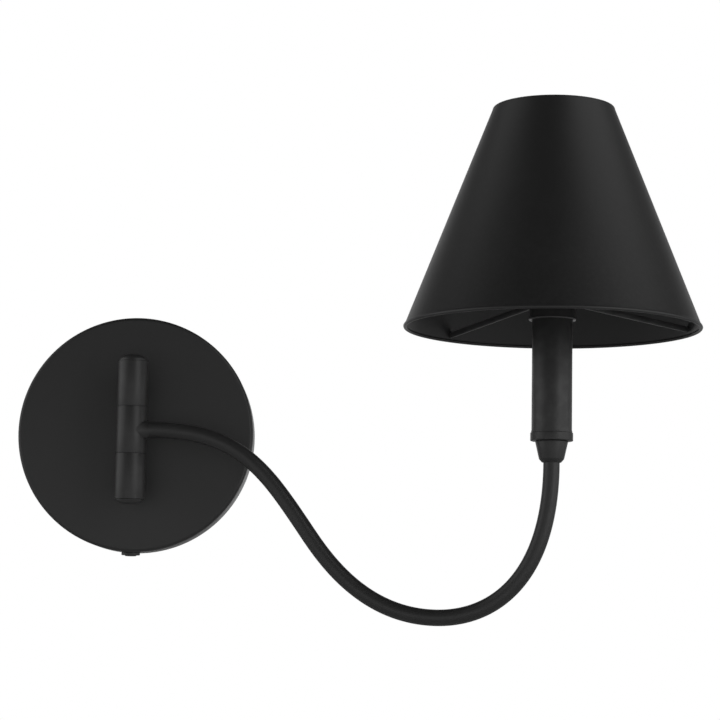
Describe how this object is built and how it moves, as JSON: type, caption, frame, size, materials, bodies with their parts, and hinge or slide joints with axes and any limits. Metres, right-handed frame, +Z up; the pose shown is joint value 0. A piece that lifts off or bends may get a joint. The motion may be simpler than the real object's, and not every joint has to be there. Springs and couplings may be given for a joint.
{
  "type": "swing arm wall sconce",
  "caption": "Black metal wall light: round canopy with a push switch, upright pivot barrel, S-bent swing arm, candle-style lamp holder and a tapered metal shade.",
  "frame": {"origin": "centre of the canopy on the wall plane, on the rear face of the steel mounting bridge", "axes": "+Y into the wall, +X along the wall towards the lamp, +Z up"},
  "size_m": [0.3585, 0.1688, 0.2674],
  "materials": {
    "black_powder_coat": "satin black powder coat",
    "zinc_steel": "zinc-plated steel",
    "green_ground_screw": "green passivated",
    "dark_plastic": "moulded",
    "white_plastic": "moulded",
    "green_plastic": "moulded",
    "lead_insulation": "soft insulation",
    "phenolic": "moulded phenolic",
    "brass": "drawn brass",
    "bulb_glass": "clear glass",
    "bulb_stem": "phosphor-coated filament stem"
  },
  "bodies": {
    "canopy": {"backplate": "black_powder_coat", "mounting_bridge": "zinc_steel", "side_screw_1": "black_powder_coat", "side_screw_2": "black_powder_coat", "ground_screw": "green_ground_screw", "upper_post": "black_powder_coat", "lower_post": "black_powder_coat", "upper_post_nut": "zinc_steel", "lower_post_nut": "zinc_steel", "switch_bezel": "black_powder_coat", "switch_nut": "zinc_steel", "switch_body": "dark_plastic", "wire_connector_1": "dark_plastic", "wire_connector_2": "white_plastic", "wire_connector_3": "green_plastic", "barrel_upper": "black_powder_coat", "barrel_lower": "black_powder_coat", "upper_cap": "black_powder_coat", "lower_cap": "black_powder_coat", "upper_washer": "zinc_steel", "lower_washer": "zinc_steel", "upper_pivot": "zinc_steel", "lower_pivot": "zinc_steel", "base_lead": "lead_insulation"},
    "arm": {"barrel_middle": "black_powder_coat", "arm_collar": "black_powder_coat", "arm_tube": "black_powder_coat", "arm_lead": "lead_insulation", "cup_neck": "black_powder_coat", "cup_ring": "black_powder_coat", "cup_nut": "zinc_steel", "candle_sleeve": "black_powder_coat", "threaded_nipple": "zinc_steel", "socket_cap": "phenolic", "socket_shell": "phenolic", "socket_contact": "brass", "socket_thread": "brass", "bulb_base": "brass", "bulb_glass": "bulb_glass", "bulb_stem": "bulb_stem", "shade_hub": "black_powder_coat", "retaining_ring": "phenolic", "shade": "black_powder_coat", "spider_arm_1": "black_powder_coat", "spider_arm_2": "black_powder_coat", "spider_arm_3": "black_powder_coat"},
    "button": {"push_button": "black_powder_coat"}
  },
  "joints": [
    {"name": "arm_swing", "type": "hinge", "parent": "canopy", "child": "arm", "pos_m": [0, -0.0445, 0], "axis": [0, 0, 1], "range_deg": [-158.5, 3.5]},
    {"name": "switch_push", "type": "slide", "parent": "canopy", "child": "button", "axis": [0, 0, 1], "range_m": [0, 0.0012], "stiffness_N_per_m": 400, "springref_m": -0.001}
  ]
}
